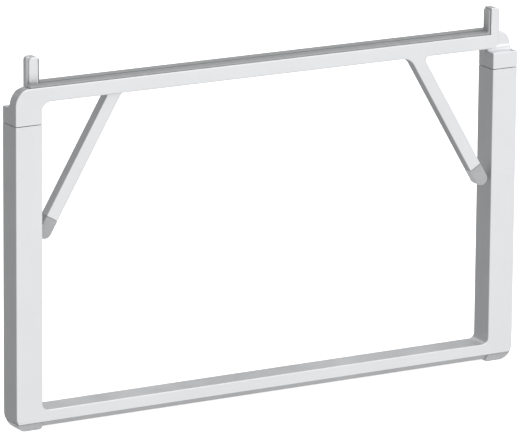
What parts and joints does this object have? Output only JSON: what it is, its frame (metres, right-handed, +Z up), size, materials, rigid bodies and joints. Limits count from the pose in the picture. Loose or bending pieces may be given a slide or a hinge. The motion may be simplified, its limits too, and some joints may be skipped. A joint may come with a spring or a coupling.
{
  "type": "folding swing arm stand",
  "caption": "Upright U-shaped aluminium stand with two swing-out support arms, each with an end peg, a diagonal strut, a soft liner and a rubber tip.",
  "frame": {"origin": "middle of the footprint, on the plane that the two foot pads stand on", "axes": "+X along the width, from the left post to the right post as seen from the front; +Y from the front face to the back face; +Z up"},
  "size_m": [0.3, 0.0144, 0.1946],
  "materials": {
    "frame": "fine bead-blasted, clear anodised",
    "arm": "fine bead-blasted, clear anodised",
    "rubber": "matt light grey",
    "liner": "matt light grey",
    "bushing": "moulded bearing polymer",
    "steel": "ground steel"
  },
  "bodies": {
    "base": {"u_frame": "frame", "left_foot_pad": "rubber", "right_foot_pad": "rubber", "left_upper_bush": "bushing", "left_lower_bush": "bushing", "left_retaining_screw": "steel", "right_upper_bush": "bushing", "right_lower_bush": "bushing", "right_retaining_screw": "steel"},
    "front_arm": {"front_arm_frame": "arm", "front_hinge_pin": "steel", "front_pin_ring": "rubber", "front_thrust_washer": "bushing", "front_bar_liner": "liner", "front_strut_tip": "rubber"},
    "rear_arm": {"rear_arm_frame": "arm", "rear_hinge_pin": "steel", "rear_pin_ring": "rubber", "rear_thrust_washer": "bushing", "rear_bar_liner": "liner", "rear_strut_tip": "rubber"}
  },
  "joints": [
    {"name": "front_arm_swing", "type": "hinge", "parent": "base", "child": "front_arm", "pos_m": [-0.1424, 0, 0.1611], "axis": [0, 0, 1], "range_deg": [-90, 0]},
    {"name": "rear_arm_swing", "type": "hinge", "parent": "base", "child": "rear_arm", "pos_m": [0.1424, 0, 0.1611], "axis": [0, 0, 1], "range_deg": [-90, 0]}
  ]
}
